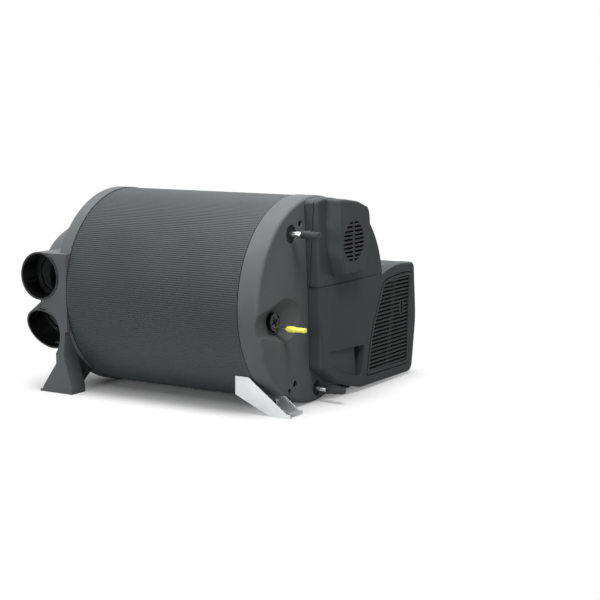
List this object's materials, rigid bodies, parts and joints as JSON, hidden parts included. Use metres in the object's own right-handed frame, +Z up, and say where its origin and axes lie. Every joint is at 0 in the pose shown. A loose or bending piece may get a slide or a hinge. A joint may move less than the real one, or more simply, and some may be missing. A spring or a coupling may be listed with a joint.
{
  "type": "caravan combination heater",
  "caption": "Diesel water and warm-air heater for a caravan: ribbed jacket on its side, air distributor with duct sockets on feet, and an end cap with electronics cover and louvred fan intake.",
  "frame": {"origin": "on the floor, under the middle of the heater's bounding box", "axes": "+X along the jacket towards the end cap, +Y to the back where the fan housing stands out, +Z up"},
  "size_m": [0.4914, 0.426, 0.2965],
  "materials": {
    "jacket_anthracite": "matt, fine ribs",
    "housing_grey": "fine grain",
    "cover_dark": "fine grain",
    "seal_black": "matt",
    "socket_black": "glossy",
    "grille_black": "satin",
    "bracket_steel": "bright zinc",
    "screw_steel": "satin",
    "motor_steel": "satin",
    "stainless": "brushed",
    "cast_aluminium": "cast",
    "pipe_bright": "bright",
    "plug_grey": "satin",
    "fuel_yellow": "glossy",
    "board_green": "satin",
    "parts_black": "satin"
  },
  "bodies": {
    "heater": {"jacket": "jacket_anthracite", "air_distributor": "housing_grey", "end_cap": "housing_grey", "cover_base": "cover_dark", "lower_cover": "cover_dark", "fan_housing": "cover_dark", "fan_front_plate": "cover_dark", "jacket_seal_left": "seal_black", "jacket_seal_right": "seal_black", "hot_grommet": "seal_black", "cold_grommet": "seal_black", "cable_grommet": "seal_black", "tank_spacers": "seal_black", "duct_socket_front_upper": "socket_black", "duct_socket_front_lower": "socket_black", "duct_socket_rear_upper": "socket_black", "duct_socket_rear_lower": "socket_black", "burner_air_stub": "socket_black", "fuel_fitting": "socket_black", "air_sensor": "grille_black", "overheat_switch": "grille_black", "bracket_front": "bracket_steel", "bracket_rear": "bracket_steel", "bracket_screws": "screw_steel", "fan_screws": "screw_steel", "burner_screws": "screw_steel", "fan_motor": "motor_steel", "blower_motor": "motor_steel", "water_tank": "stainless", "flame_tube": "stainless", "burner_plate": "stainless", "exhaust_stub": "stainless", "heat_exchanger": "cast_aluminium", "hot_pipe": "pipe_bright", "cold_pipe": "pipe_bright", "fuel_pipe": "pipe_bright", "circuit_board": "board_green", "board_parts": "parts_black"},
    "circulation_fan": {"fan_wheel": "grille_black"},
    "burner_blower": {"blower_wheel": "grille_black"},
    "electronics_cover": {"upper_cover": "cover_dark"},
    "grille": {"intake_grille": "grille_black"},
    "hot_water_plug": {"hot_plug": "plug_grey"},
    "cold_water_plug": {"cold_plug": "plug_grey"},
    "fuel_line_cap": {"fuel_cap": "fuel_yellow"}
  },
  "joints": [
    {"name": "fan_spin", "type": "hinge", "parent": "heater", "child": "circulation_fan", "pos_m": [0.16825, 0.14304, 0.0885], "axis": [1, 0, 0], "continuous": true},
    {"name": "blower_spin", "type": "hinge", "parent": "heater", "child": "burner_blower", "pos_m": [0.17825, -0.06296, 0.1485], "axis": [1, 0, 0], "continuous": true},
    {"name": "electronics_cover_lift", "type": "slide", "parent": "heater", "child": "electronics_cover", "axis": [1, 0, 0], "range_m": [0, 0.06]},
    {"name": "grille_pull", "type": "slide", "parent": "heater", "child": "grille", "axis": [1, 0, 0], "range_m": [0, 0.04]},
    {"name": "hot_plug_pull", "type": "slide", "parent": "heater", "child": "hot_water_plug", "axis": [1, 0, 0], "range_m": [0, 0.03]},
    {"name": "cold_plug_pull", "type": "slide", "parent": "heater", "child": "cold_water_plug", "axis": [1, 0, 0], "range_m": [0, 0.03]},
    {"name": "fuel_cap_pull", "type": "slide", "parent": "heater", "child": "fuel_line_cap", "axis": [1, 0, 0], "range_m": [0, 0.025]}
  ]
}
